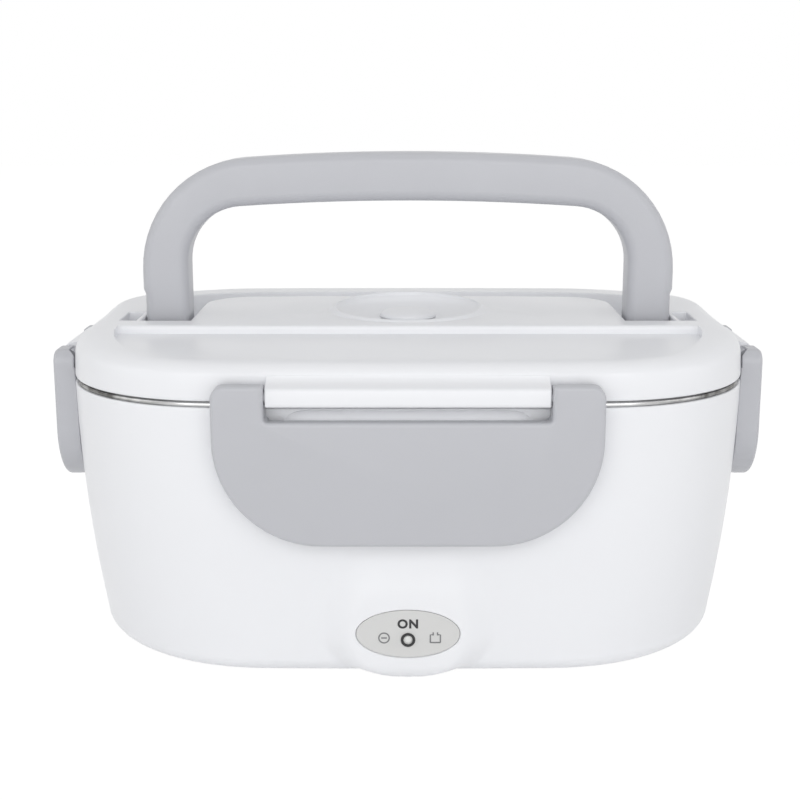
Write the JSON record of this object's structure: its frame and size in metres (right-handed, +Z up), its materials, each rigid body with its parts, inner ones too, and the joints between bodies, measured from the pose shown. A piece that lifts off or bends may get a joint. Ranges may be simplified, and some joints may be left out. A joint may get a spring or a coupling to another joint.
{
  "type": "electric lunch box",
  "caption": "Rounded electric lunch box: heated tub, lift-out steel container, lid with fold-up latches, press-in vent knob, folding carry handle, lamp panel in front, power inlets behind.",
  "frame": {"origin": "on the table, under the middle of the tub", "axes": "X to the right, Y to the back, Z up; the lamp panel faces -Y"},
  "size_m": [0.2378, 0.1728, 0.1617],
  "materials": {
    "white_plastic": "glossy polypropylene",
    "grey_plastic": "satin moulded polypropylene",
    "panel_plastic": "fine satin",
    "steel": "polished stainless steel",
    "screw_steel": "zinc plated",
    "aluminium": "matt",
    "silicone": "soft translucent silicone",
    "foot_rubber": "matt",
    "black_plastic": "matt",
    "brass": "bright",
    "lamp_lens": "clear tinted resin",
    "circuit_board": "solder mask",
    "mica": "pressed mica",
    "wire_sleeve": "soft sleeve",
    "cap_plastic": "nylon"
  },
  "bodies": {
    "base": {"outer_shell": "white_plastic", "bottom_cover": "white_plastic", "rubber_feet": "foot_rubber", "cover_screws": "screw_steel", "heating_plate": "aluminium", "plate_gasket": "silicone", "plate_screws": "screw_steel", "mains_heater": "aluminium", "car_heater": "aluminium", "insulating_sheet": "mica", "heater_clamp": "steel", "clamp_screws": "screw_steel", "thermostat": "black_plastic", "thermal_fuse": "brass", "lamp_board": "circuit_board", "indicator_led": "lamp_lens", "led_bezel": "black_plastic", "lamp_panel": "panel_plastic", "mains_inlet": "black_plastic", "mains_pins": "brass", "car_socket": "black_plastic", "car_socket_pin": "brass", "wiring": "wire_sleeve", "splice_caps": "cap_plastic"},
    "container": {"steel_container": "steel"},
    "lid": {"lid_shell": "white_plastic", "lid_liner": "white_plastic", "lid_seal": "silicone"},
    "vent": {"vent_plug": "white_plastic"},
    "handle": {"carry_handle": "grey_plastic"},
    "front_latch": {"latch_front": "grey_plastic"},
    "back_latch": {"latch_back": "grey_plastic"},
    "left_latch": {"latch_left": "grey_plastic"},
    "right_latch": {"latch_right": "grey_plastic"}
  },
  "joints": [
    {"name": "lid_lift", "type": "slide", "parent": "base", "child": "lid", "axis": [0, 0, 1], "range_m": [0, 0.24]},
    {"name": "container_lift", "type": "slide", "parent": "base", "child": "container", "axis": [0, 0, 1], "range_m": [0, 0.12]},
    {"name": "handle_fold", "type": "hinge", "parent": "lid", "child": "handle", "pos_m": [0, 0, 0.0995], "axis": [-1, 0, 0], "range_deg": [0, 90]},
    {"name": "front_latch_turn", "type": "hinge", "parent": "lid", "child": "front_latch", "pos_m": [0, -0.0828, 0.0934], "axis": [-1, 0, 0], "range_deg": [0, 100]},
    {"name": "back_latch_turn", "type": "hinge", "parent": "lid", "child": "back_latch", "pos_m": [0, 0.0828, 0.0934], "axis": [1, 0, 0], "range_deg": [0, 100]},
    {"name": "left_latch_turn", "type": "hinge", "parent": "lid", "child": "left_latch", "pos_m": [-0.1153, 0, 0.0934], "axis": [0, 1, 0], "range_deg": [0, 100]},
    {"name": "right_latch_turn", "type": "hinge", "parent": "lid", "child": "right_latch", "pos_m": [0.1153, 0, 0.0934], "axis": [0, -1, 0], "range_deg": [0, 100]},
    {"name": "vent_lift", "type": "slide", "parent": "lid", "child": "vent", "axis": [0, 0, 1], "range_m": [0, 0.02]}
  ],
  "couplings": [
    {"joint": "container_lift", "follows": "lid_lift", "ratio": 0.5}
  ]
}
